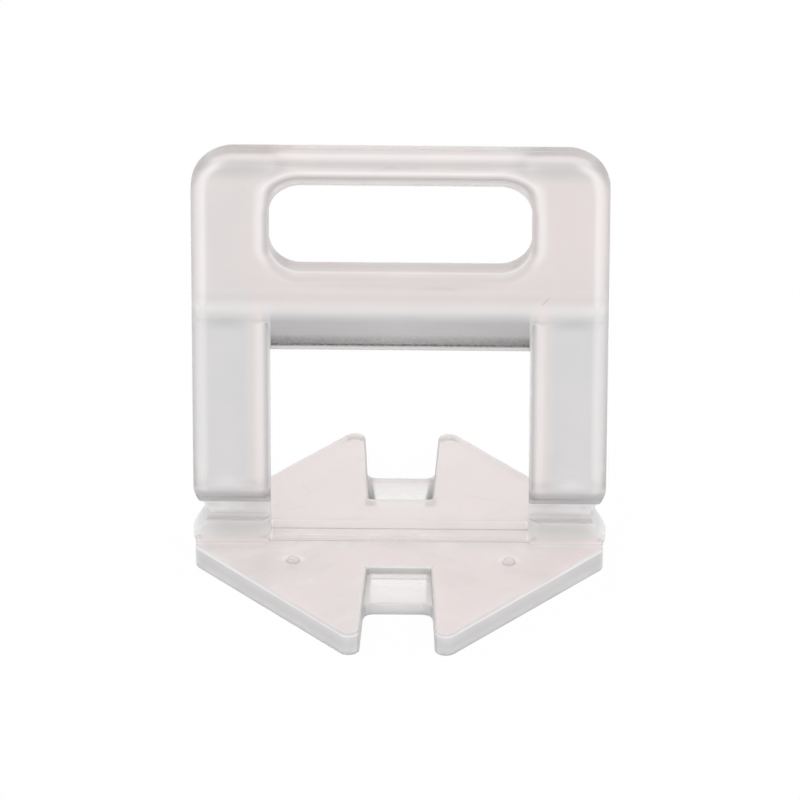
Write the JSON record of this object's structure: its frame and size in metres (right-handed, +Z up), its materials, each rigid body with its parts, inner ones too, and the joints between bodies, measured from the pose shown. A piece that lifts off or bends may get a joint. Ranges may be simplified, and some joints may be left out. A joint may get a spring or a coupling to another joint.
{
  "type": "tile levelling clip",
  "caption": "One-piece plastic levelling clip: flat upright with finger slot and wedge window on break-off necks, over a notched hexagonal base plate, for a 3 mm joint.",
  "frame": {"origin": "middle of the base plate's underside, which is also the bottom centre of the bounding box", "axes": "+Z up along the upright, X along the upright's width, Y through its thickness, with the ejector pips on the -Y side"},
  "size_m": [0.032, 0.0316, 0.0353],
  "materials": {
    "polypropylene": "natural translucent polypropylene, satin as moulded"
  },
  "bodies": {
    "root": {"clip": "polypropylene"}
  },
  "joints": []
}
